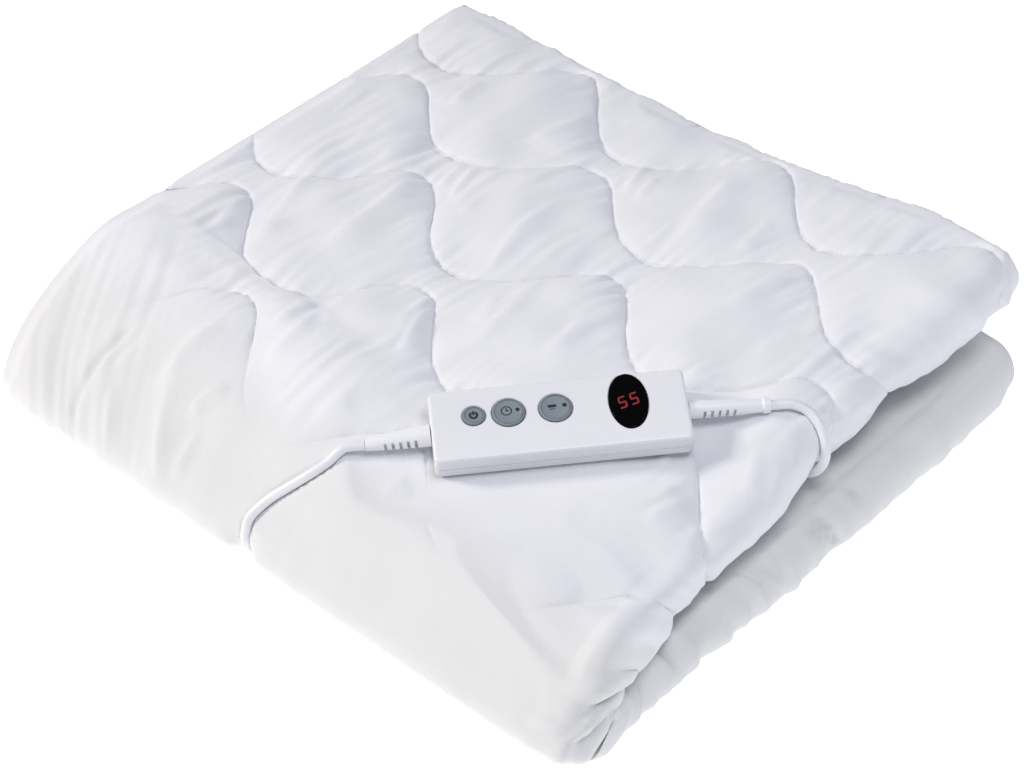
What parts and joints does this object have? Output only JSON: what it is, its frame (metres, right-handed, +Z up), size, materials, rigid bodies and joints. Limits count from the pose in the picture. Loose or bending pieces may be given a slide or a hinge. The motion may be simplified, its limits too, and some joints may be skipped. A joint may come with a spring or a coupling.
{
  "type": "folded electric heated blanket with hand controller",
  "caption": "Quilted electric heated blanket folded into a flat stack, with a white hand controller on top and its leads.",
  "frame": {"origin": "centre of the folded blanket's footprint, on the surface that it lies on", "axes": "+X along the front fold towards its right corner, +Y from the front fold to the back, +Z up"},
  "size_m": [0.4964, 0.4916, 0.1045],
  "materials": {
    "quilted_cotton": "soft white quilted cloth",
    "white_plastic": "satin moulded white",
    "white_lead": "smooth white sheath",
    "grey_rubber": "matt grey blue",
    "black_window": "glossy black",
    "white_tie": "plain off-white strap",
    "bright_metal": "nickel plated"
  },
  "bodies": {
    "blanket_stack": {"blanket": "quilted_cotton", "controller_case": "white_plastic", "display_window": "black_window", "strain_relief_left": "white_plastic", "strain_relief_right": "white_plastic", "lead_to_blanket": "white_lead", "mains_lead": "white_lead", "mains_hank": "white_lead", "hank_tie": "white_tie", "plug_lead": "white_lead", "plug_relief": "white_plastic", "plug_body": "white_plastic", "plug_pin_front": "bright_metal", "plug_pin_back": "bright_metal"},
    "power_button": {"button_power": "grey_rubber"},
    "timer_button": {"button_timer": "grey_rubber"},
    "heat_button": {"button_heat": "grey_rubber"}
  },
  "joints": [
    {"name": "power_press", "type": "slide", "parent": "blanket_stack", "child": "power_button", "axis": [-0.1453, 0.1865, -0.9717], "range_m": [0, 0.0008], "stiffness_N_per_m": 400},
    {"name": "timer_press", "type": "slide", "parent": "blanket_stack", "child": "timer_button", "axis": [-0.1453, 0.1865, -0.9717], "range_m": [0, 0.0008], "stiffness_N_per_m": 400},
    {"name": "heat_press", "type": "slide", "parent": "blanket_stack", "child": "heat_button", "axis": [-0.1453, 0.1865, -0.9717], "range_m": [0, 0.0008], "stiffness_N_per_m": 400}
  ]
}
